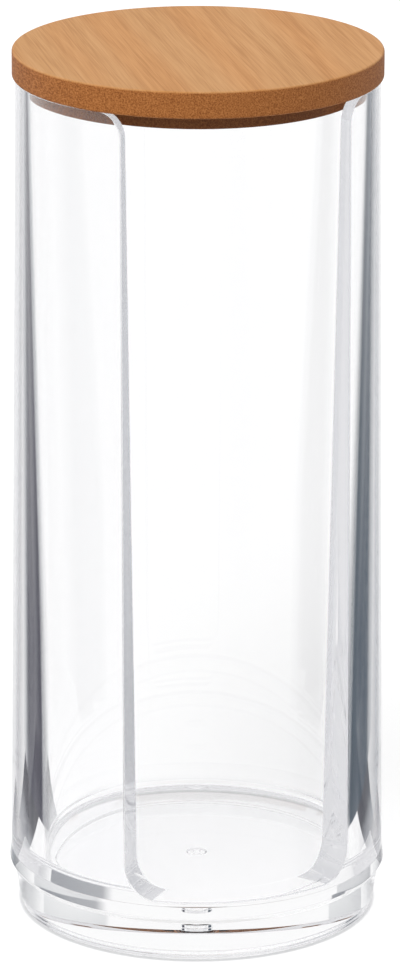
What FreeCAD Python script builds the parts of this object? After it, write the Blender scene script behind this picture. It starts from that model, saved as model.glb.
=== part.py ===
import FreeCAD, Part
import os
import Sketcher

V = FreeCAD.Vector

# Driving sizes in millimetres and degrees. The tube's axis is Z, its foot stands on Z = 0
# and the pick-out slot faces -Y. Every radius is worked out from the tube's, the lid's too.
SIZES = [
    ("tube_radius", 37.9, "outside of the tube at its lower end"),
    ("outside_draft", 0.67, "draft that narrows the outside of the tube upward"),
    ("core_draft", 0.78, "draft that widens the inside of the tube upward"),
    ("rim_height", 173.0, "top of the tube"),
    ("base_wall", 6.4, "thickness of the wall where it meets the floor"),
    ("floor_height", 12.5, "top of the solid base"),
    ("floor_bevel", 0.15, "eased corner between the floor and the inner wall"),
    ("flare_height", 12.0, "height where the flare down to the ledge starts"),
    ("ledge_overhang", 0.3, "how far the ledge, the widest line, stands out past the tube"),
    ("ledge_height", 9.5, "height of the ledge"),
    ("step_inset", 0.6, "how far the foot's upper end, under the ledge, stands back from the tube"),
    ("step_height", 8.4, "height of the foot's upper end"),
    ("foot_inset", 1.9, "how far the foot's lower edge stands back from the tube"),
    ("foot_bevel", 0.9, "eased lower edge of the foot"),
    ("foot_ring", 6.5, "width of the ring that the foot stands on"),
    ("recess_depth", 0.9, "depth of the shallow hollow inside that ring"),
    ("gate_radius", 2.0, "ring-shaped dimple round the gate mark under the base"),
    ("gate_nub_radius", 0.7, "nub left standing in the middle of the dimple"),
    ("gate_depth", 0.7, "depth of the dimple above the hollow"),
    ("slot_half_width", 23.0, "half the slot's width at the rim, on the tube's outside"),
    ("slot_flank", 38.5, "lean of each side of the slot toward the axis, seen from above"),
    ("slot_draft", 0.52, "draft that narrows the slot downward"),
    ("slot_floor", 13.05, "lower edge of the slot"),
    ("slot_corner", 7.0, "corner radius at the bottom of the slot"),
    ("slot_shoulder", 5.0, "radius where the slot's sides run out into the rim"),
    ("slot_overrun", 2.0, "how far the cutting section passes the ledge"),
    ("slot_reach", 12.0, "distance from the axis to the back of the cutting section"),
    ("edge_bevel", 0.35, "eased edges of the slot and the rim"),
    ("lid_overhang", 0.65, "how far the lid's disc stands out past the rim"),
    ("lid_thickness", 5.4, "thickness of the disc above the rim"),
    ("lid_edge_bevel", 0.5, "eased edges of the disc"),
    ("spigot_clearance", 0.3, "gap between the lid's spigot and the mouth"),
    ("spigot_depth", 2.8, "how far the spigot reaches below the disc"),
    ("spigot_edge_bevel", 0.4, "eased lower edge of the spigot"),
]

# Radii that follow from the sizes, as formulas over the sheet.
RIM_RADIUS = (
    "(sizes.tube_radius"
    " - (sizes.rim_height - sizes.flare_height) * tan(sizes.outside_draft * 1 deg))"
)
LEDGE_RADIUS = "(sizes.tube_radius + sizes.ledge_overhang)"
FOOT_RADIUS = "(sizes.tube_radius - sizes.foot_inset)"
RECESS_RADIUS = "(sizes.tube_radius - sizes.foot_inset - sizes.foot_ring)"
WELL_RADIUS = "(sizes.tube_radius - sizes.base_wall)"
MOUTH_RADIUS = (
    "(sizes.tube_radius - sizes.base_wall"
    " + (sizes.rim_height - sizes.floor_height) * tan(sizes.core_draft * 1 deg))"
)

LEVEL = 1e-3


def make_sheet(doc):
    """The spreadsheet that drives every sketch and feature."""
    sheet = doc.addObject("Spreadsheet::Sheet", "sizes")
    for row, (name, value, meaning) in enumerate(SIZES, start=1):
        sheet.set(f"A{row}", name)
        sheet.set(f"B{row}", str(value))
        sheet.set(f"C{row}", meaning)
        sheet.setAlias(f"B{row}", name)
    doc.recompute()
    return sheet


def origin_plane(body, role):
    return next(f for f in body.Origin.OriginFeatures if f.Role == role)


def add_sketch(body, name, role):
    """A sketch flat on one of the body's own origin planes."""
    sketch = body.newObject("Sketcher::SketchObject", name)
    sketch.AttachmentSupport = [(origin_plane(body, role), "")]
    sketch.MapMode = "FlatFace"
    return sketch


def add_outline(sketch, corners):
    """A closed outline of straight lines through corners, pairs of formulas over the sheet."""
    points = [V(value_of(sketch, across), value_of(sketch, up), 0) for across, up in corners]
    for start, end in zip(points, points[1:] + points[:1]):
        sketch.addGeometry(Part.LineSegment(start, end), False)
    for i, (across, up) in enumerate(corners):
        following = (i + 1) % len(corners)
        sketch.addConstraint(Sketcher.Constraint("Coincident", i, 2, following, 1))
        pin_coordinate(sketch, i, "DistanceX", across, points[i].x)
        pin_coordinate(sketch, i, "DistanceY", up, points[i].y)


def add_circle(sketch, radius):
    """A circle about the sketch's origin, its radius bound to the named size."""
    value = value_of(sketch, f"sizes.{radius}")
    line = sketch.addGeometry(Part.Circle(V(), V(0, 0, 1), value), False)
    sketch.addConstraint(Sketcher.Constraint("Coincident", line, 3, -1, 1))
    index = sketch.addConstraint(Sketcher.Constraint("Radius", line, value))
    sketch.setExpression(f"Constraints[{index}]", f"sizes.{radius}")


def pin_coordinate(sketch, line, kind, formula, value):
    """One coordinate of a line's start, measured from the sketch's origin."""
    if formula == "0":
        axis = -2 if kind == "DistanceX" else -1
        sketch.addConstraint(Sketcher.Constraint("PointOnObject", line, 1, axis))
        return
    index = sketch.addConstraint(Sketcher.Constraint(kind, -1, 1, line, 1, value))
    sketch.setExpression(f"Constraints[{index}]", formula)


def value_of(sketch, formula):
    """What a formula over the sheet comes to now."""
    return float(sketch.Document.getObject("sizes").evalExpression(formula))


def add_revolution(body, name, sketch):
    solid = body.newObject("PartDesign::Revolution", name)
    solid.Profile = sketch
    solid.ReferenceAxis = (sketch, ["V_Axis"])
    solid.Angle = 360
    body.Document.recompute()
    return solid


def add_pocket(body, name, sketch, length, upward=False):
    """A pocket of a given depth formula; it must take material away."""
    before = body.Shape.Volume
    pocket = body.newObject("PartDesign::Pocket", name)
    pocket.Profile = sketch
    pocket.Reversed = upward
    pocket.setExpression("Length", length)
    body.Document.recompute()
    if pocket.Shape.Volume >= before:
        raise RuntimeError(f"{name} removes nothing")
    return pocket


def add_round(body, name, base, wanted, radius):
    """A fillet on the edges of base for which wanted(edge) holds, its radius bound to a size."""
    edges = [f"Edge{i}" for i, edge in enumerate(base.Shape.Edges, start=1) if wanted(edge)]
    fillet = body.newObject("PartDesign::Fillet", name)
    fillet.Base = (base, edges)
    fillet.setExpression("Radius", f"sizes.{radius}")
    body.Document.recompute()
    return fillet


def add_bevel(body, name, base, wanted, size):
    """A chamfer on the edges of base for which wanted(edge) holds, its size bound to the sheet."""
    edges = [f"Edge{i}" for i, edge in enumerate(base.Shape.Edges, start=1) if wanted(edge)]
    bevel = body.newObject("PartDesign::Chamfer", name)
    bevel.Base = (base, edges)
    bevel.setExpression("Size", f"sizes.{size}")
    body.Document.recompute()
    return bevel


def is_ring(edge, radius, height):
    """True for a full level circle of that radius at that height."""
    if not isinstance(edge.Curve, Part.Circle) or len(edge.Vertexes) != 1:
        return False
    return abs(edge.Curve.Radius - radius) < LEVEL and abs(edge.Curve.Center.z - height) < LEVEL


def crosses_wall(edge):
    """True for a level edge that runs from the inside of the tube to its outside."""
    if edge.BoundBox.ZLength > LEVEL:
        return False
    radii = [V(vertex.X, vertex.Y, 0).Length for vertex in edge.Vertexes]
    return max(radii) - min(radii) > 1.0


def build_holder(doc, size):
    """The clear moulding: a drafted tube on a solid stepped base, with the slot in front."""
    body = doc.addObject("PartDesign::Body", "clear_holder")
    body.Label = "clear_holder"
    body.Placement = FreeCAD.Placement()

    section = add_sketch(body, "half_section", "XZ_Plane")
    add_outline(section, [
        ("0", "sizes.recess_depth"),
        (RECESS_RADIUS, "sizes.recess_depth"),
        (RECESS_RADIUS, "0"),
        (FOOT_RADIUS, "0"),
        ("sizes.tube_radius - sizes.step_inset", "sizes.step_height"),
        (LEDGE_RADIUS, "sizes.ledge_height"),
        ("sizes.tube_radius", "sizes.flare_height"),
        (RIM_RADIUS, "sizes.rim_height"),
        (MOUTH_RADIUS, "sizes.rim_height"),
        (WELL_RADIUS, "sizes.floor_height"),
        ("0", "sizes.floor_height"),
    ])
    tube = add_revolution(body, "tube_and_base", section)
    tube = add_bevel(
        body, "foot_edge", tube,
        lambda edge: is_ring(edge, value_of(section, FOOT_RADIUS), 0),
        "foot_bevel",
    )
    tube = add_bevel(
        body, "floor_edge", tube,
        lambda edge: is_ring(edge, value_of(section, WELL_RADIUS), size.floor_height),
        "floor_bevel",
    )
    add_gate_mark(body)
    add_slot(body, size)
    return body


def add_gate_mark(body):
    """The ring-shaped dimple round the gate, in the middle of the hollow under the base."""
    mark = add_sketch(body, "gate_ring", "XY_Plane")
    add_circle(mark, "gate_radius")
    add_circle(mark, "gate_nub_radius")
    add_pocket(body, "gate_dimple", mark, "sizes.recess_depth + sizes.gate_depth", upward=True)


def add_slot(body, size):
    """The slot, cut down from the rim and open at the top, with rounded corners and soft edges."""
    plan = add_sketch(body, "slot_plan", "XY_Plane")
    plan.setExpression("AttachmentOffset.Base.z", "sizes.rim_height")
    body.Document.recompute()
    front = f"({LEDGE_RADIUS} + sizes.slot_overrun)"
    back = "sizes.slot_reach"
    add_outline(plan, [
        ("-" + slot_half_width_at(front), "-" + front),
        (slot_half_width_at(front), "-" + front),
        (slot_half_width_at(back), "-" + back),
        ("-" + slot_half_width_at(back), "-" + back),
    ])
    slot = add_pocket(body, "front_slot", plan, "sizes.rim_height - sizes.slot_floor")
    slot.setExpression("TaperAngle", "-sizes.slot_draft")
    body.Document.recompute()

    middle = size.rim_height / 2
    slot = add_round(
        body, "slot_corners", slot,
        lambda edge: crosses_wall(edge) and edge.BoundBox.ZMax < middle,
        "slot_corner",
    )
    slot = add_round(
        body, "slot_shoulders", slot,
        lambda edge: crosses_wall(edge) and edge.BoundBox.ZMin > middle,
        "slot_shoulder",
    )
    lowest = size.slot_floor - LEVEL
    add_bevel(
        body, "soft_edges", slot,
        lambda edge: edge.BoundBox.ZMin > lowest and not crosses_wall(edge),
        "edge_bevel",
    )


def slot_half_width_at(depth):
    """Formula for half the slot's width at the rim, at a distance in front of the axis."""
    wall = f"sqrt({RIM_RADIUS} ^ 2 - sizes.slot_half_width ^ 2)"
    return f"(sizes.slot_half_width + ({depth} - {wall}) * tan(sizes.slot_flank * 1 deg))"


def build_lid(doc, size):
    """The bamboo lid, turned from one board: a disc on the rim with a spigot in the mouth."""
    body = doc.addObject("PartDesign::Body", "bamboo_lid")
    body.Label = "bamboo_lid"
    body.setExpression("Placement.Base.z", "sizes.rim_height")

    disc_radius = f"({RIM_RADIUS} + sizes.lid_overhang)"
    spigot_radius = f"({MOUTH_RADIUS} - sizes.spigot_clearance)"
    section = add_sketch(body, "lid_section", "XZ_Plane")
    add_outline(section, [
        ("0", "-sizes.spigot_depth"),
        (spigot_radius, "-sizes.spigot_depth"),
        (spigot_radius, "0"),
        (disc_radius, "0"),
        (disc_radius, "sizes.lid_thickness"),
        ("0", "sizes.lid_thickness"),
    ])
    lid = add_revolution(body, "turned_lid", section)
    disc = value_of(section, disc_radius)
    lid = add_bevel(
        body, "disc_edges", lid,
        lambda edge: is_ring(edge, disc, 0) or is_ring(edge, disc, size.lid_thickness),
        "lid_edge_bevel",
    )
    add_bevel(
        body, "spigot_edge", lid,
        lambda edge: is_ring(edge, value_of(section, spigot_radius), -size.spigot_depth),
        "spigot_edge_bevel",
    )
    return body


def check_document(doc, bodies):
    """Stops if any object failed or any piece is not one valid solid."""
    for item in doc.Objects:
        if {"Invalid", "Error"} & set(item.State):
            raise RuntimeError(f"{item.Label} failed: {item.State}")
    for body in bodies:
        shape = body.Shape
        if shape.isNull() or not shape.isValid() or len(shape.Solids) != 1:
            raise RuntimeError(f"{body.Label} is not one valid solid")


def main():
    doc = FreeCAD.newDocument("cotton_pad_holder")
    size = make_sheet(doc)
    bodies = [build_holder(doc, size), build_lid(doc, size)]
    doc.recompute()
    check_document(doc, bodies)
    os.makedirs("parts", exist_ok=True)
    for body in bodies:
        body.Shape.exportStep(f"parts/{body.Label}.step")


main()
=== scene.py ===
import math

import bpy
import numpy as np
from mathutils import Matrix, Vector


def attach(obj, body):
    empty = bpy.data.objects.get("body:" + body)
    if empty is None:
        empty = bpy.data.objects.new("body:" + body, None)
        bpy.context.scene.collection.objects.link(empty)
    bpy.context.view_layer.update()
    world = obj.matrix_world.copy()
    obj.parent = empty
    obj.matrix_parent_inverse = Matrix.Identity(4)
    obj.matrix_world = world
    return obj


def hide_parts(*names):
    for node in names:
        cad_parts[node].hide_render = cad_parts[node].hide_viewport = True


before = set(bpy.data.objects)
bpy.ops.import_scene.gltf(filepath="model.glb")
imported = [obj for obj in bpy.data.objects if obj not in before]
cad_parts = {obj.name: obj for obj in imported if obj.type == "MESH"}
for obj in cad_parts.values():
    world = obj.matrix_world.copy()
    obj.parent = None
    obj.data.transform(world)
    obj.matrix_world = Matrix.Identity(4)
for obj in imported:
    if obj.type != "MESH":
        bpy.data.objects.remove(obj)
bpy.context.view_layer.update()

MM = 0.001

# The holder and its lid, in millimetres and degrees, as the CAD has them.
TUBE_RADIUS = 37.9
OUTSIDE_DRAFT = 0.67
CORE_DRAFT = 0.78
RIM_HEIGHT = 173.0
BASE_WALL = 6.4
FLOOR_HEIGHT = 12.5
FLARE_HEIGHT = 12.0
LEDGE_OVERHANG = 0.3
LEDGE_HEIGHT = 9.5
STEP_INSET = 0.6
STEP_HEIGHT = 8.4
FOOT_INSET = 1.9
FOOT_RING = 6.5
RECESS_DEPTH = 0.9
GATE_RADIUS = 2.0
GATE_NUB_RADIUS = 0.7
GATE_DEPTH = 0.7
SLOT_HALF_WIDTH = 23.0
SLOT_FLANK = 38.5
SLOT_DRAFT = 0.52
SLOT_FLOOR = 13.05
SLOT_CORNER = 7.0
SLOT_SHOULDER = 5.0
LID_OVERHANG = 0.65
LID_THICKNESS = 5.4
SPIGOT_CLEARANCE = 0.3
SPIGOT_DEPTH = 2.8

# The rounds of the edges, in millimetres. The CAD has plain bevels or sharp corners there.
FLOOR_ROUND = 2.0           # inner corner between the wall and the floor
EDGE_ROUND = 0.35           # the slot's and the rim's edges
GATE_ROUND = 0.15
RING_ROUND = 0.3            # inner side of the ring that the foot stands on
FOOT_ROUND = 0.9
STEP_ROUND = 0.3
LEDGE_ROUND = 0.25
FLARE_ROUND = 2.0
SPIGOT_EDGE_ROUND = 0.4
SPIGOT_CORNER_ROUND = 0.12  # where the spigot meets the disc
DISC_UNDER_ROUND = 0.45
DISC_TOP_ROUND = 0.5

# How finely the skins are divided.
ROUND_STEPS = 5
EDGE_STEPS = 6
FLOOR_STEPS = 10
CORNER_SAMPLES = 25
FLANK_SAMPLES = 42
SHOULDER_SAMPLES = 21
SLOT_FLOOR_SAMPLES = 76
RIM_SAMPLES = 280
LID_SAMPLES = 720
POLE_RADIUS = 0.02          # of the smallest ring round a pole


# ---------------------------------------------------------------- profiles and rings of vertices

def slerp(a, b, t):
    """The unit vector a fraction t of the way from a to b."""
    angle = math.acos(max(-1.0, min(1.0, float(a @ b))))
    if angle < 1e-6:
        return a
    return (math.sin((1 - t) * angle) * a + math.sin(t * angle) * b) / math.sin(angle)


def rounded(corners):
    """Profile rows (r, z, normal r, normal z) along corners (r, z, radius), each rounded off.

    The outside of the solid lies to the right of the direction of travel."""
    points = [np.array(corner[:2], float) for corner in corners]
    rows = []
    for i, point in enumerate(points):
        before = points[i] - points[i - 1] if i else points[1] - points[0]
        after = points[i + 1] - points[i] if i + 1 < len(points) else before
        before = before / np.linalg.norm(before)
        after = after / np.linalg.norm(after)
        out_before = np.array([before[1], -before[0]])
        out_after = np.array([after[1], -after[0]])
        radius = corners[i][2]
        if not radius:
            rows.append((*point, *out_before))
            continue
        convex = before[0] * after[1] - before[1] * after[0] > 0
        side = -1 if convex else 1
        centre = point + side * radius * (out_before + out_after) / (1 + out_before @ out_after)
        for k in range(ROUND_STEPS + 1):
            normal = slerp(out_before, out_after, k / ROUND_STEPS)
            rows.append((*(centre - side * radius * normal), *normal))
    return rows


def outer_radius(z):
    """The tube's outside, narrower toward the rim by its draft."""
    return TUBE_RADIUS - (z - FLARE_HEIGHT) * math.tan(math.radians(OUTSIDE_DRAFT))


def wall_inside(z):
    """The tube's inside above the floor's round, wider toward the rim by the core's draft."""
    return TUBE_RADIUS - BASE_WALL + (z - FLOOR_HEIGHT) * math.tan(math.radians(CORE_DRAFT))


ROUND_TOP = FLOOR_HEIGHT + FLOOR_ROUND
ROUND_CENTRE = wall_inside(ROUND_TOP) - FLOOR_ROUND / math.cos(math.radians(CORE_DRAFT))


def inside_turn(z):
    """How far the inside has turned from upright toward the floor at height z, in radians."""
    drop = (ROUND_TOP - z) / FLOOR_ROUND
    return max(math.radians(CORE_DRAFT), math.asin(min(1.0, max(0.0, drop))))


def inner_radius(z):
    """The tube's inside with the round that leads it into the floor."""
    turn = inside_turn(z)
    if turn > math.radians(CORE_DRAFT):
        return ROUND_CENTRE + FLOOR_ROUND * math.cos(turn)
    return wall_inside(z)


def slot_profile(rim_offset):
    """The slot's side from its floor to the rim, as (offset, z, normal) in the flank's plane."""
    draft = math.radians(SLOT_DRAFT)

    def side_at(z):
        return rim_offset - (RIM_HEIGHT - z) * math.tan(draft)

    profile = []
    bottom = SLOT_FLOOR + SLOT_CORNER
    corner = side_at(bottom) - SLOT_CORNER / math.cos(draft)
    for angle in np.linspace(-math.pi / 2, -draft, CORNER_SAMPLES):
        outward = np.array([math.cos(angle), math.sin(angle)])
        place = (corner + SLOT_CORNER * outward[0], bottom + SLOT_CORNER * outward[1])
        profile.append((*place, -outward))
    start = profile[-1][:2]

    top = RIM_HEIGHT - SLOT_SHOULDER
    shoulder = side_at(top) + SLOT_SHOULDER / math.cos(draft)
    turn = np.linspace(math.pi - draft, math.pi / 2, SHOULDER_SAMPLES)
    first = np.array([math.cos(turn[0]), math.sin(turn[0])])
    stop = (shoulder + SLOT_SHOULDER * first[0], top + SLOT_SHOULDER * first[1])
    for t in np.linspace(0, 1, FLANK_SAMPLES)[1:-1]:
        place = (start[0] + t * (stop[0] - start[0]), start[1] + t * (stop[1] - start[1]))
        profile.append((*place, first))
    for angle in turn:
        outward = np.array([math.cos(angle), math.sin(angle)])
        place = (shoulder + SLOT_SHOULDER * outward[0], top + SLOT_SHOULDER * outward[1])
        profile.append((*place, outward))
    return profile


def level_edge(outer, inner, z, count):
    """Rows along a level edge, between two azimuths on the outside and two on the inside."""
    rows = []
    for t in np.linspace(0, 1, count):
        points = []
        for radius, start, stop in ((outer_radius(z), *outer), (inner_radius(z), *inner)):
            angle = start + (stop - start) * t
            points.append(np.array([radius * math.sin(angle), -radius * math.cos(angle), z]))
        rows.append((*points, np.array([0, 0, 1.0])))
    return rows


def slot_edge():
    """Half of the edge from the slot's middle round to the back of the rim.

    Each row is the edge on the outside, the edge on the inside and the cut face's normal."""
    flank = math.radians(SLOT_FLANK)
    along = np.array([math.sin(flank), -math.cos(flank), 0])
    across = np.array([math.cos(flank), math.sin(flank), 0])
    up = np.array([0, 0, 1.0])
    rim = outer_radius(RIM_HEIGHT)
    widest = np.array([SLOT_HALF_WIDTH, -math.sqrt(rim ** 2 - SLOT_HALF_WIDTH ** 2), 0])

    side = []
    for offset, z, normal in slot_profile(widest @ across):
        outer = offset * across + math.sqrt(outer_radius(z) ** 2 - offset ** 2) * along + z * up
        inner = offset * across + math.sqrt(inner_radius(z) ** 2 - offset ** 2) * along + z * up
        side.append((outer, inner, normal[0] * across + normal[1] * up))

    def azimuths(row):
        return [math.atan2(point[0], -point[1]) for point in row[:2]]

    outer, inner = azimuths(side[0])
    bottom = level_edge((0, outer), (0, inner), SLOT_FLOOR, SLOT_FLOOR_SAMPLES)
    outer, inner = azimuths(side[-1])
    rim = level_edge((outer, math.pi), (inner, math.pi), RIM_HEIGHT, RIM_SAMPLES)
    return bottom[:-1] + side + rim[1:]


def on_outside(point):
    """The place on the tube's outside at a point's height and azimuth, and the normal there."""
    spread = math.hypot(point[0], point[1])
    tilt = math.radians(OUTSIDE_DRAFT)
    across = np.array([point[0] / spread, point[1] / spread])
    place = np.array([*(across * outer_radius(point[2])), point[2]])
    return place, np.array([*(across * math.cos(tilt)), math.sin(tilt)])


def on_inside(point):
    """The place on the tube's inside at a point's height and azimuth, and the normal there."""
    spread = math.hypot(point[0], point[1])
    tilt = inside_turn(point[2])
    across = np.array([point[0] / spread, point[1] / spread])
    place = np.array([*(across * inner_radius(point[2])), point[2]])
    return place, np.array([*(-across * math.cos(tilt)), math.sin(tilt)])


def round_edge(corner, face_normal, on_wall):
    """Points and normals of the small round from the wall to the cut face at one corner."""
    wall_normal = on_wall(corner)[1]
    middle = corner - EDGE_ROUND * (wall_normal + face_normal) / (1 + wall_normal @ face_normal)
    rows = []
    for k in range(EDGE_STEPS + 1):
        normal = slerp(wall_normal, face_normal, k / EDGE_STEPS)
        rows.append((middle + EDGE_ROUND * normal, normal))
    rows[0] = on_wall(rows[0][0])
    return rows


def tube_rings():
    """Rings from the outside of the tube over its edge to the inside, as (points, normals)."""
    half = []
    for outer, inner, face in slot_edge():
        half.append(round_edge(outer, face, on_outside) + round_edge(inner, face, on_inside)[::-1])
    half = np.array(half)                       # sample, row, point or normal, xyz
    mirrored = half[1:-1][::-1] * np.array([-1.0, 1.0, 1.0])
    ring = np.concatenate([half, mirrored])     # from the slot's middle round to it again
    return [(ring[:, row, 0], ring[:, row, 1]) for row in range(ring.shape[1])]


def turned(profile, azimuths):
    """Rings of vertices, one for each profile row, at the given azimuths from -Y toward +X."""
    rings = []
    for r, z, nr, nz in profile:
        points = [r * np.sin(azimuths), -r * np.cos(azimuths), np.full_like(azimuths, z)]
        normals = [nr * np.sin(azimuths), -nr * np.cos(azimuths), np.full_like(azimuths, nz)]
        rings.append((np.stack(points, 1), np.stack(normals, 1)))
    return rings


def floor_rings(start, azimuths):
    """Rings from the foot of the inside wall down its round onto the floor.

    Where the slot cuts into the round, they begin just below the slot's edge."""
    below_edge = 0.1
    high = np.minimum(ROUND_TOP, start[:, 2] - below_edge)
    first = np.array([inside_turn(z) for z in high])
    rings = []
    for k in range(FLOOR_STEPS + 1):
        turn = first + (math.pi / 2 - first) * k / FLOOR_STEPS
        r = ROUND_CENTRE + FLOOR_ROUND * np.cos(turn)
        z = FLOOR_HEIGHT + FLOOR_ROUND * (1 - np.sin(turn))
        inward = np.cos(turn)
        points = [r * np.sin(azimuths), -r * np.cos(azimuths), z]
        normals = [-inward * np.sin(azimuths), inward * np.cos(azimuths), np.sin(turn)]
        rings.append((np.stack(points, 1), np.stack(normals, 1)))
    return rings


def azimuths_of(points):
    """The points' azimuths from -Y toward +X, from zero up."""
    angles = np.arctan2(points[:, 0], -points[:, 1])
    return np.where(angles < -1e-9, angles + 2 * math.pi, angles)


def pole(z, facing):
    """The vertex on the axis that closes a skin, with its normal up or down."""
    return np.array([0, 0, z]), np.array([0, 0, float(facing)])


def add_object(name, points, faces):
    """A new mesh object in the scene, its points given in metres."""
    mesh = bpy.data.meshes.new(name)
    mesh.from_pydata(points, [], faces)
    made = bpy.data.objects.new(name, mesh)
    bpy.context.scene.collection.objects.link(made)
    return made


def skin(name, rings, low, high):
    """A closed mesh through rings of equal length and a pole at either end."""
    count = len(rings[0][0])
    points = [point for ring in rings for point in ring[0]]
    normals = [normal for ring in rings for normal in ring[1]]
    faces = []
    for row in range(len(rings) - 1):
        a, b = row * count, (row + 1) * count
        for i in range(count):
            j = (i + 1) % count
            faces.append((a + i, a + j, b + j, b + i))
    last = (len(rings) - 1) * count
    faces += [(len(points), (i + 1) % count, i) for i in range(count)]
    faces += [(last + i, last + (i + 1) % count, len(points) + 1) for i in range(count)]
    for place, normal in (low, high):
        points.append(place)
        normals.append(normal)
    piece = add_object(name, [Vector(point) * MM for point in points], faces)
    mesh = piece.data
    mesh.update()
    mesh.polygons.foreach_set("use_smooth", [True] * len(mesh.polygons))
    mesh.normals_split_custom_set_from_vertices([tuple(normal) for normal in normals])
    return piece


# ---------------------------------------------------------------- the two pieces

def make_holder():
    """The clear moulding as one closed skin with every edge softly rounded."""
    tube = tube_rings()
    outside = azimuths_of(tube[0][0])
    inside = azimuths_of(tube[-1][0])
    foot = TUBE_RADIUS - FOOT_INSET
    gate_top = RECESS_DEPTH + GATE_DEPTH
    underside = rounded([
        (POLE_RADIUS, RECESS_DEPTH, 0),
        (GATE_NUB_RADIUS, RECESS_DEPTH, GATE_ROUND),
        (GATE_NUB_RADIUS, gate_top, GATE_ROUND),
        (GATE_RADIUS, gate_top, GATE_ROUND),
        (GATE_RADIUS, RECESS_DEPTH, GATE_ROUND),
        (foot - FOOT_RING, RECESS_DEPTH, RING_ROUND),
        (foot - FOOT_RING, 0, RING_ROUND),
        (foot, 0, FOOT_ROUND),
        (TUBE_RADIUS - STEP_INSET, STEP_HEIGHT, STEP_ROUND),
        (TUBE_RADIUS + LEDGE_OVERHANG, LEDGE_HEIGHT, LEDGE_ROUND),
        (TUBE_RADIUS, FLARE_HEIGHT, FLARE_ROUND),
        (outer_radius(FLARE_HEIGHT + 1), FLARE_HEIGHT + 1, 0),
    ])
    middle = turned([(POLE_RADIUS, FLOOR_HEIGHT, 0, 1)], inside)
    rings = turned(underside, outside)[:-1] + tube + floor_rings(tube[-1][0], inside) + middle
    return skin("holder_clear_moulding", rings, pole(RECESS_DEPTH, -1), pole(FLOOR_HEIGHT, 1))


def make_lid():
    """The turned lid: disc and spigot in one, every edge eased."""
    spigot = inner_radius(RIM_HEIGHT) - SPIGOT_CLEARANCE
    disc = outer_radius(RIM_HEIGHT) + LID_OVERHANG
    low = RIM_HEIGHT - SPIGOT_DEPTH
    high = RIM_HEIGHT + LID_THICKNESS
    profile = rounded([
        (POLE_RADIUS, low, 0),
        (spigot, low, SPIGOT_EDGE_ROUND),
        (spigot, RIM_HEIGHT, SPIGOT_CORNER_ROUND),
        (disc, RIM_HEIGHT, DISC_UNDER_ROUND),
        (disc, high, DISC_TOP_ROUND),
        (POLE_RADIUS, high, 0),
    ])
    azimuths = np.linspace(0, 2 * math.pi, LID_SAMPLES, endpoint=False)
    return skin("lid_bamboo", turned(profile, azimuths), pole(low, -1), pole(high, 1))


# ---------------------------------------------------------------- helpers for node trees

def node_adder(owner):
    """Empty the node tree of a material or world, and return the function that adds one node."""
    owner.use_nodes = True
    tree = owner.node_tree
    tree.nodes.clear()

    def node(kind, inputs=None, **settings):
        made = tree.nodes.new(kind)
        for key, value in settings.items():
            setattr(made, key, value)
        for key, value in (inputs or {}).items():
            socket = made.inputs[key]
            if isinstance(value, bpy.types.NodeSocket):
                tree.links.new(value, socket)
            elif socket.type == "RGBA":
                socket.default_value = (*value, 1)
            else:
                socket.default_value = value
        return made

    return node


def maths(node, operation, a, b=0.0):
    """The result of one operation on two numbers, or on the first of them."""
    return node("ShaderNodeMath", {0: a, 1: b}, operation=operation).outputs[0]


def part_way(node, value, low, high):
    """How far a value is on its way from low to high, from 0 to 1."""
    return node("ShaderNodeMapRange", {"Value": value, 1: low, 2: high}, clamp=True).outputs[0]


def mixed(node, a, b, factor=1.0, how="MIX"):
    """Colour b mixed into colour a."""
    inputs = {"Factor": factor, 6: a, 7: b}
    return node("ShaderNodeMix", inputs, data_type="RGBA", blend_type=how).outputs[2]


def either(node, factor, a, b):
    """Shader a where the factor is 0 and shader b where it is 1."""
    return node("ShaderNodeMixShader", {0: factor, 1: a, 2: b}).outputs[0]


def ramp(node, factor, stops):
    """A colour that runs through stops (position, colour)."""
    made = node("ShaderNodeValToRGB", {"Fac": factor})
    elements = made.color_ramp.elements
    while len(elements) < len(stops):
        elements.new(0.5)
    for element, (position, colour) in zip(elements, stops):
        element.position = position
        element.color = (*colour, 1)
    return made.outputs["Color"]


def tones(node, value, stops):
    """A tone that runs through stops, given as (place in millimetres, tone)."""
    low, high = stops[0][0], stops[-1][0]
    along = part_way(node, value, low * MM, high * MM)
    return ramp(node, along, [((at - low) / (high - low), tone) for at, tone in stops])


# ---------------------------------------------------------------- materials

WHITE = (1, 1, 1)

PLASTIC_IOR = 1.57
PLASTIC_TINT = (0.998, 0.998, 1.0)
SHADOW_TINT = (0.975, 0.976, 0.978)     # of the light that the plastic lets through to the floor
LONG_PATH_TINT = (0.84, 0.84, 0.85)     # of light that has run along inside the wall
LET_OUT_TINT = (0.97, 0.972, 0.975)
DIMMED_PATH = 4                         # surfaces after which light starts to lose strength
LONGEST_PATH = 6                        # surfaces after which it goes straight on

GRAIN_TURN = math.radians(-93.0)

# The marks of the wood: length along the grain, width across it and height, in millimetres.
FIBRES = (13, 0.27, 0.27)
BUNDLES = (60, 2.2, 2.2)
STRIPS = (400, 9, 60)
SPECKS = (1.6, 0.26, 0.26)
MARK_ROUGHNESS = 0.6                    # how much of the marks' finer detail shows

FACE_TONES = [
    (0.36, (0.51, 0.238, 0.083)),
    (0.50, (0.595, 0.297, 0.114)),
    (0.64, (0.65, 0.340, 0.144)),
]
STRIP_TONES = [(0.38, (1.0, 0.96, 0.9)), (0.5, WHITE), (0.62, (1.0, 1.03, 1.06))]
EDGE_TONES = [
    (0.36, (0.23, 0.073, 0.015)),
    (0.50, (0.34, 0.118, 0.028)),
    (0.66, (0.44, 0.17, 0.048)),
]
FACING_UP = (0.25, 0.9)                 # upward share of the normal from the edge to the face

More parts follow.
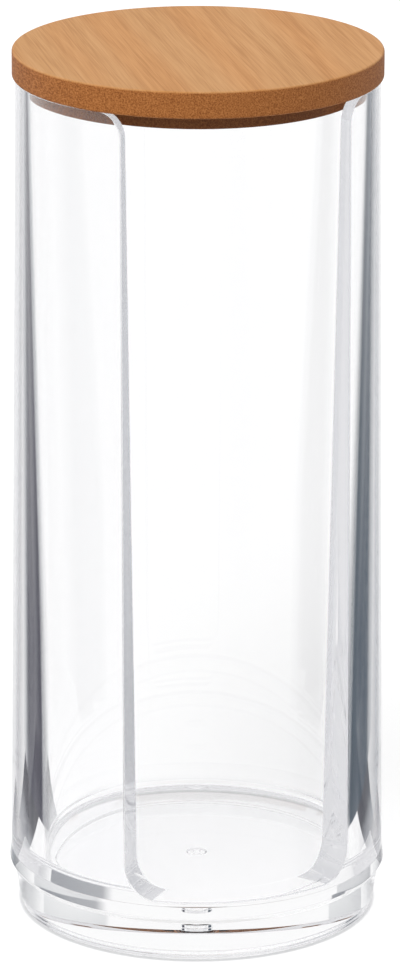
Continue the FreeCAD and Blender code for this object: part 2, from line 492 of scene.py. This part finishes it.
# Painted shade: the spigot is in the disc's shade, less so at its sides, where the wall throws
# light on it.
SPIGOT_SHADE = (0.44, 0.42, 0.42)
SPIGOT_SIDE_SHADE = (0.95, 0.88, 0.78)
SPIGOT_SIDES = (18, 28)                 # millimetres from the middle of the shade
SHADE_MIDDLE = -2                       # its place across the lid


def new_material(name):
    material = bpy.data.materials.new(name)
    return material, node_adder(material)


def clear_plastic():
    """Polished clear styrene, faintly cool, that lets the light through to what lies behind.

    Light that runs on inside the wall is dimmed, and at last it goes straight on."""
    material, node = new_material("clear_plastic")
    path = node("ShaderNodeLightPath").outputs
    dimming = part_way(node, path["Ray Depth"], DIMMED_PATH, LONGEST_PATH)
    tint = mixed(node, PLASTIC_TINT, LONG_PATH_TINT, dimming)
    glass = node("ShaderNodeBsdfGlass", {"Color": tint, "Roughness": 0.0, "IOR": PLASTIC_IOR})
    shadow = node("ShaderNodeBsdfTransparent", {"Color": SHADOW_TINT})
    plastic = either(node, path["Is Shadow Ray"], glass.outputs[0], shadow.outputs[0])
    let_out = node("ShaderNodeBsdfTransparent", {"Color": LET_OUT_TINT})
    too_long = maths(node, "GREATER_THAN", path["Ray Depth"], LONGEST_PATH)
    surface = either(node, too_long, plastic, let_out.outputs[0])
    node("ShaderNodeOutputMaterial", {"Surface": surface})
    return material


def bamboo():
    """Laminated bamboo: fine fibres along the grain, strips of slightly different tone, and
    a darker, speckled edge."""
    material, node = new_material("bamboo")
    place = node("ShaderNodeTexCoord").outputs["Object"]
    across, _, upward = node("ShaderNodeSeparateXYZ", {0: place}).outputs
    turn = {"Vector": place, "Rotation": (0, 0, -GRAIN_TURN)}
    grain = node("ShaderNodeMapping", turn).outputs[0]

    def marks(size, detail, seed):
        scale = tuple(1000 / length for length in size)
        moved = node("ShaderNodeMapping", {"Vector": grain, "Location": seed, "Scale": scale})
        return node("ShaderNodeTexNoise", {
            "Vector": moved.outputs[0],
            "Scale": 1.0,
            "Detail": detail,
            "Roughness": MARK_ROUGHNESS,
        }).outputs[0]

    fibres = marks(FIBRES, 1.0, (3, 1, 2))
    bundles = marks(BUNDLES, 2.0, (7, 5, 1))
    strips = marks(STRIPS, 0.0, (2, 9, 4))
    specks = marks(SPECKS, 1.0, (1, 8, 3))

    mean = maths(node, "MULTIPLY", maths(node, "ADD", fibres, bundles), 0.5)
    hue = ramp(node, strips, STRIP_TONES)
    face = mixed(node, ramp(node, mean, FACE_TONES), hue, how="MULTIPLY")

    # Painted shade under the disc: the spigot's colour is darkened, least at its sides.
    aside = maths(node, "ABSOLUTE", maths(node, "SUBTRACT", across, SHADE_MIDDLE * MM))
    aside = part_way(node, aside, *(edge * MM for edge in SPIGOT_SIDES))
    shade = mixed(node, SPIGOT_SHADE, SPIGOT_SIDE_SHADE, aside)
    on_spigot = maths(node, "LESS_THAN", upward, RIM_HEIGHT * MM)
    shade = mixed(node, WHITE, shade, on_spigot)
    edge = mixed(node, ramp(node, specks, EDGE_TONES), shade, how="MULTIPLY")

    normal = node("ShaderNodeNewGeometry").outputs["Normal"]
    facing_up = part_way(node, node("ShaderNodeSeparateXYZ", {0: normal}).outputs[2], *FACING_UP)
    bump = node("ShaderNodeBump", {"Height": fibres, "Strength": 0.12, "Distance": 0.2 * MM})
    wood = node("ShaderNodeBsdfPrincipled", {
        "Base Color": mixed(node, edge, face, facing_up),
        "Normal": bump.outputs[0],
        "Roughness": 0.6,
        "Specular IOR Level": 0.2,
    })
    node("ShaderNodeOutputMaterial", {"Surface": wood.outputs[0]})
    return material


# ---------------------------------------------------------------- studio

# The studio's frame is turned about the object's axis so that its -Y faces the camera.
VIEW_TURN = math.radians(15.3)
STUDIO = Matrix.Rotation(-VIEW_TURN, 4, "Z")

SKY_LEVEL = 0.45
SKY_BEHIND = 0.95           # the share of the way to white at which the sky shows in the object
SUN_LEVEL = 0.7
SUN_FROM = (-0.42, -0.55, 0.85)
SUN_SPREAD = math.radians(40)

FLOOR_REACH = 4.0           # metres
FLOOR_DROP = 0.0001         # metres below the foot
FLOOR_TONE = (0.82, 0.82, 0.82)
FLOOR_GLOW = 0.3            # lifts the floor to white behind the object
FLOOR_BEHIND = 0.65         # the share of that glow that shows in the object
PAINTED_CONTACT_SHADE = (0.66, 0.66, 0.67)
PAINTED_SHADE_RING = (-1.4, -0.7, 0, 0.7)     # the painted line of shade about the foot's radius, millimetres

DARK = (0.0, 0.0, 0.015)
DARK_LEFT = (0.002, 0.0, 0.028)
DARK_RIGHT = (0.0, 0.026, 0.057)
CARD_REACH = 6              # surfaces after which light inside the wall no longer meets a card

# The flags stand upright on both sides. Their front edges lean back above the bend.
FLAG_ASIDE = 70
FLAG_BEND = 45
FLAG_TOP = 175
LEFT_LEAN = 0.24
LEFT_FRONT = [(2, WHITE), (6, (0.5, 0.51, 0.53)), (11, (0.42, 0.43, 0.45)), (14, DARK_LEFT)]
LEFT_BACK = [
    (42, DARK_LEFT), (47, (0.15, 0.155, 0.17)), (53, (0.45, 0.46, 0.48)),
    (60, (0.75, 0.76, 0.77)), (70, WHITE),
]
RIGHT_LEAN = 0.255
RIGHT_FRONT = [(1, WHITE), (5, (0.36, 0.37, 0.39)), (8, (0.2, 0.21, 0.23)), (12, DARK_RIGHT)]
RIGHT_BACK = [
    (50, DARK_RIGHT), (55, (0.2, 0.21, 0.225)), (62, (0.45, 0.46, 0.48)),
    (74, (0.65, 0.66, 0.67)), (90, WHITE),
]

# The far cards stand behind the flags. Dark patches on the floor between the flags and the object
# are painted darkening of the floor beside the flags.
CARD_ACROSS = [
    (110, WHITE), (126, (0.4, 0.41, 0.43)), (180, (0.32, 0.335, 0.36)),
    (250, (0.22, 0.23, 0.26)), (310, (0.4, 0.41, 0.43)), (400, WHITE),
]
CARD_UPWARD = [(112, WHITE), (126, (0.72, 0.73, 0.74)), (138, (0.5, 0.51, 0.53)), (150, DARK)]
RIGHT_CARD = [(110, 305, 112), (400, 100, 112), (400, 100, 215), (110, 305, 215)]
LEFT_CARD = [(-190, 260, 112), (-400, 100, 112), (-400, 100, 165), (-190, 260, 165)]
FLOOR_DARKENING_ACROSS = [
    (42, WHITE), (48, (0.55, 0.56, 0.58)), (54, (0.3, 0.31, 0.33)), (60, DARK), (70, DARK),
]
RIGHT_FLOOR_DARKENING = [(42, 15, 0.2), (70, 24, 0.2), (70, 58, 0.2), (42, 32, 0.2)]
LEFT_FLOOR_DARKENING = [(-42, 13, 0.2), (-42, 34, 0.2), (-70, 62, 0.2), (-70, 19, 0.2)]

# The camera, in millimetres and degrees; its focal length and the photograph, in pixels.
CAMERA_DISTANCE = 1100
CAMERA_HEIGHT = 441.0
CAMERA_PITCH = 16.8
CAMERA_ROLL = 0.109
FOCAL_LENGTH = 5744
PICTURE_WIDTH = 400
PICTURE_HEIGHT = 965
AXIS_ACROSS = 197.49        # where the view's own middle falls across the photograph
SHIFT_UP = -0.1             # as a share of the picture's height
SENSOR = 36                 # millimetres


def seen_in_background(node, through):
    """1 where the camera sees a surface itself, through in a reflection or refraction, else 0."""
    path = node("ShaderNodeLightPath").outputs
    bent = maths(node, "MAXIMUM", path["Is Glossy Ray"], path["Is Transmission Ray"])
    return maths(node, "MAXIMUM", path["Is Camera Ray"], maths(node, "MULTIPLY", bent, through))


def make_floor():
    """A white floor that keeps the object's shadow, with a painted line of shade under the foot's
    round.
    """
    size = FLOOR_REACH
    corners = [(-size, -size, 0), (size, -size, 0), (size, size, 0), (-size, size, 0)]
    floor = add_object("floor", corners, [(0, 1, 2, 3)])
    floor.location.z = -FLOOR_DROP
    material, node = new_material("floor_white")
    place = node("ShaderNodeTexCoord").outputs["Object"]
    spread = node("ShaderNodeVectorMath", {0: place}, operation="LENGTH").outputs["Value"]
    # Painted shade: a dark ring about the foot's radius, in the floor's colour and in its glow.
    foot = TUBE_RADIUS - FOOT_INSET
    ring = zip(PAINTED_SHADE_RING, (WHITE, PAINTED_CONTACT_SHADE, PAINTED_CONTACT_SHADE, WHITE))
    shade = tones(node, spread, [(foot + at, tone) for at, tone in ring])
    matt = node("ShaderNodeBsdfDiffuse", {"Color": mixed(node, FLOOR_TONE, shade, how="MULTIPLY")})
    lift = maths(node, "MULTIPLY", seen_in_background(node, FLOOR_BEHIND), FLOOR_GLOW)
    glow = node("ShaderNodeEmission", {"Color": shade, "Strength": lift})
    both = node("ShaderNodeAddShader", {0: matt.outputs[0], 1: glow.outputs[0]})
    node("ShaderNodeOutputMaterial", {"Surface": both.outputs[0]})
    floor.data.materials.append(material)
    return floor


def make_card(name, corners, shade):
    """A dark card in the studio's frame that shows only in the object's gloss and refraction.

    shade(node, place) gives its tone from a place's three coordinates in metres."""
    points = [Vector(corner) * MM for corner in corners]
    card = add_object(name, points, [tuple(range(len(corners)))])
    card.matrix_world = STUDIO
    material, node = new_material(name)
    place = node("ShaderNodeSeparateXYZ", {0: node("ShaderNodeTexCoord").outputs["Object"]})
    glow = node("ShaderNodeEmission", {"Color": shade(node, place.outputs), "Strength": 1.0})
    beyond = node("ShaderNodeBsdfTransparent")
    depth = node("ShaderNodeLightPath").outputs["Ray Depth"]
    deep = maths(node, "GREATER_THAN", depth, CARD_REACH)
    surface = either(node, deep, glow.outputs[0], beyond.outputs[0])
    node("ShaderNodeOutputMaterial", {"Surface": surface})
    card.data.materials.append(material)
    card.visible_camera = False
    card.visible_shadow = False
    card.visible_diffuse = False
    return card


def flag(name, x, lean, front, back):
    """A dark flag close beside the object that fades out at the front and the back."""
    def shade(node, place):
        over = maths(node, "SUBTRACT", place[2], FLAG_BEND * MM)
        shift = maths(node, "MULTIPLY", maths(node, "MAXIMUM", over, 0.0), lean)
        level = maths(node, "SUBTRACT", place[1], shift)
        return mixed(node, tones(node, level, front), tones(node, place[1], back), how="LIGHTEN")

    near, far = front[0][0], back[-1][0]
    corners = [(x, near, 0), (x, far, 0), (x, far, FLAG_TOP), (x, near, FLAG_TOP)]
    return make_card(name, corners, shade)


def far_shade(node, place):
    """The tone of the far cards, darkest part way out and lighter low down."""
    aside = maths(node, "ABSOLUTE", place[0])
    across = tones(node, aside, CARD_ACROSS)
    return mixed(node, across, tones(node, place[2], CARD_UPWARD), how="LIGHTEN")


def floor_darkening_tone(node, place):
    """The tone of the painted dark patches on the floor, darker toward the flags."""
    return tones(node, maths(node, "ABSOLUTE", place[0]), FLOOR_DARKENING_ACROSS)


def make_world():
    """An even sky, plain on the object and white behind it."""
    world = bpy.data.worlds.new("studio")
    bpy.context.scene.world = world
    node = node_adder(world)
    seen = {"Value": seen_in_background(node, SKY_BEHIND), 3: SKY_LEVEL, 4: 1.0}
    strength = node("ShaderNodeMapRange", seen).outputs[0]
    sky = node("ShaderNodeBackground", {"Color": WHITE, "Strength": strength})
    node("ShaderNodeOutputWorld", {"Surface": sky.outputs[0]})


def make_sun():
    """Broad soft daylight from the left, a little in front and well above."""
    light = bpy.data.lights.new("sun", "SUN")
    light.energy = math.pi * SUN_LEVEL
    light.angle = SUN_SPREAD
    lamp = bpy.data.objects.new("sun", light)
    bpy.context.scene.collection.objects.link(lamp)
    toward = STUDIO.to_3x3() @ Vector(SUN_FROM)
    lamp.rotation_euler = toward.to_track_quat("Z", "Y").to_euler()
    lamp.visible_glossy = False
    lamp.visible_transmission = False


def make_camera():
    """The photograph's view: a long lens, a little above the object and turned to its left."""
    data = bpy.data.cameras.new("camera")
    data.sensor_width = SENSOR
    data.lens = SENSOR * FOCAL_LENGTH / PICTURE_HEIGHT
    data.shift_x = (PICTURE_WIDTH / 2 - AXIS_ACROSS) / PICTURE_HEIGHT
    data.shift_y = SHIFT_UP
    data.clip_start = 0.01
    camera = bpy.data.objects.new("camera", data)
    bpy.context.scene.collection.objects.link(camera)
    camera.matrix_world = (
        STUDIO
        @ Matrix.Translation((0, -CAMERA_DISTANCE * MM, CAMERA_HEIGHT * MM))
        @ Matrix.Rotation(math.radians(90 - CAMERA_PITCH), 4, "X")
        @ Matrix.Rotation(math.radians(CAMERA_ROLL), 4, "Z")
    )
    bpy.context.scene.camera = camera


# ---------------------------------------------------------------- the object and its studio

holder = make_holder()
holder.data.materials.append(clear_plastic())
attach(holder, "holder")
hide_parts("clear_holder")

lid = make_lid()
lid.data.materials.append(bamboo())
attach(lid, "lid")
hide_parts("bamboo_lid")

make_world()
make_floor()
flag("flag_left", -FLAG_ASIDE, LEFT_LEAN, LEFT_FRONT, LEFT_BACK)
flag("flag_right", FLAG_ASIDE, RIGHT_LEAN, RIGHT_FRONT, RIGHT_BACK)
make_card("card_right", RIGHT_CARD, far_shade)
make_card("card_left", LEFT_CARD, far_shade)
# Painted darkening of the floor beside the flags, seen only in the object's gloss and refraction.
make_card("floor_darkening_right", RIGHT_FLOOR_DARKENING, floor_darkening_tone)
make_card("floor_darkening_left", LEFT_FLOOR_DARKENING, floor_darkening_tone)
make_sun()
make_camera()

scene = bpy.context.scene
scene.view_settings.view_transform = "Standard"
scene.cycles.max_bounces = 32
scene.cycles.glossy_bounces = 32
scene.cycles.transmission_bounces = 32
